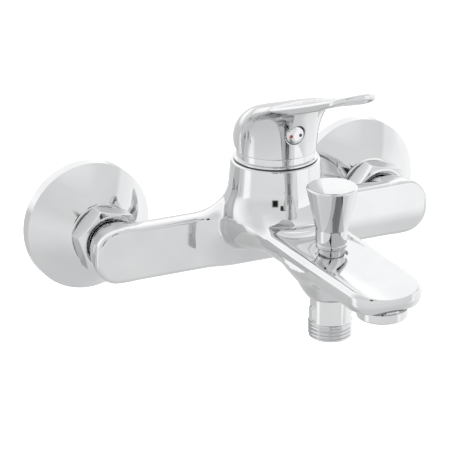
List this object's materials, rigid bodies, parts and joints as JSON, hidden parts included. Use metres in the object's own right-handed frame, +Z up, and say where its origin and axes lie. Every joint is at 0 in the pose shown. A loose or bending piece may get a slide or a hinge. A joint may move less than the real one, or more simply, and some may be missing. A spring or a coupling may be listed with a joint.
{
  "type": "wall mounted bath faucet",
  "caption": "Wall mounted bath and shower mixer with a single lever, a pull-up diverter, a flat spout and a threaded hose outlet below.",
  "frame": {"origin": "on the wall plane, midway between the two inlet axes", "axes": "+X to the right seen from the front, +Y into the wall, +Z up; the spout points along -Y"},
  "size_m": [0.215, 0.2025, 0.1313],
  "materials": {
    "chrome": "polished chrome plating on brass or zinc",
    "raw_brass": "machined brass, unplated",
    "steel": "stainless steel",
    "rubber": "black nitrile rubber",
    "cartridge_plastic": "off-white acetal",
    "ceramic": "lapped alumina ceramic",
    "aerator_plastic": "grey acetal",
    "hot_red": "glossy red enamel",
    "cold_blue": "glossy dark blue enamel"
  },
  "bodies": {
    "fixture": {"escutcheon_left": "chrome", "union_nut_left": "chrome", "eccentric_union_left": "raw_brass", "inlet_nipple_left": "chrome", "inlet_gasket_left": "rubber", "inlet_screen_left": "steel", "escutcheon_right": "chrome", "union_nut_right": "chrome", "eccentric_union_right": "raw_brass", "inlet_nipple_right": "chrome", "inlet_gasket_right": "rubber", "inlet_screen_right": "steel", "valve_body": "chrome", "dome_cover": "chrome", "hose_outlet": "chrome", "aerator_housing": "chrome", "cartridge_nut": "raw_brass", "diverter_bonnet": "chrome", "diverter_spring": "steel", "aerator_screen": "steel", "port_seals": "rubber", "cover_seal": "rubber", "stem_o_ring": "rubber", "outlet_o_ring": "rubber", "aerator_gasket": "rubber", "cartridge_housing": "cartridge_plastic", "cartridge_base": "cartridge_plastic", "fixed_disc": "ceramic", "aerator_insert": "aerator_plastic"},
    "swivel": {"swivel_carrier": "cartridge_plastic", "pivot_pin": "steel"},
    "lever": {"spindle": "steel", "handle": "chrome", "handle_set_screw": "steel", "index_plug": "chrome", "hot_mark": "hot_red", "cold_mark": "cold_blue"},
    "disc": {"disc_carrier": "cartridge_plastic", "moving_disc": "ceramic"},
    "diverter": {"diverter_knob": "chrome", "diverter_stem": "steel", "diverter_plug": "raw_brass", "lower_plug_washer": "rubber", "upper_plug_washer": "rubber"}
  },
  "joints": [
    {"name": "temperature", "type": "hinge", "parent": "fixture", "child": "swivel", "pos_m": [0, -0.0614, 0.043], "axis": [0, 0, 1], "range_deg": [-50, 50]},
    {"name": "flow", "type": "hinge", "parent": "swivel", "child": "lever", "pos_m": [0, -0.0614, 0.043], "axis": [-1, 0, 0], "range_deg": [0, 20]},
    {"name": "disc_slide", "type": "slide", "parent": "swivel", "child": "disc", "axis": [0, -1, 0], "range_m": [0, 0.0071]},
    {"name": "diverter_pull", "type": "slide", "parent": "fixture", "child": "diverter", "axis": [0, 0, 1], "range_m": [0, 0.0079], "stiffness_N_per_m": 150, "springref_m": -0.01, "deforming": ["diverter_spring"]}
  ],
  "couplings": [
    {"joint": "disc_slide", "follows": "flow", "m_per_rad": 0.0202}
  ]
}
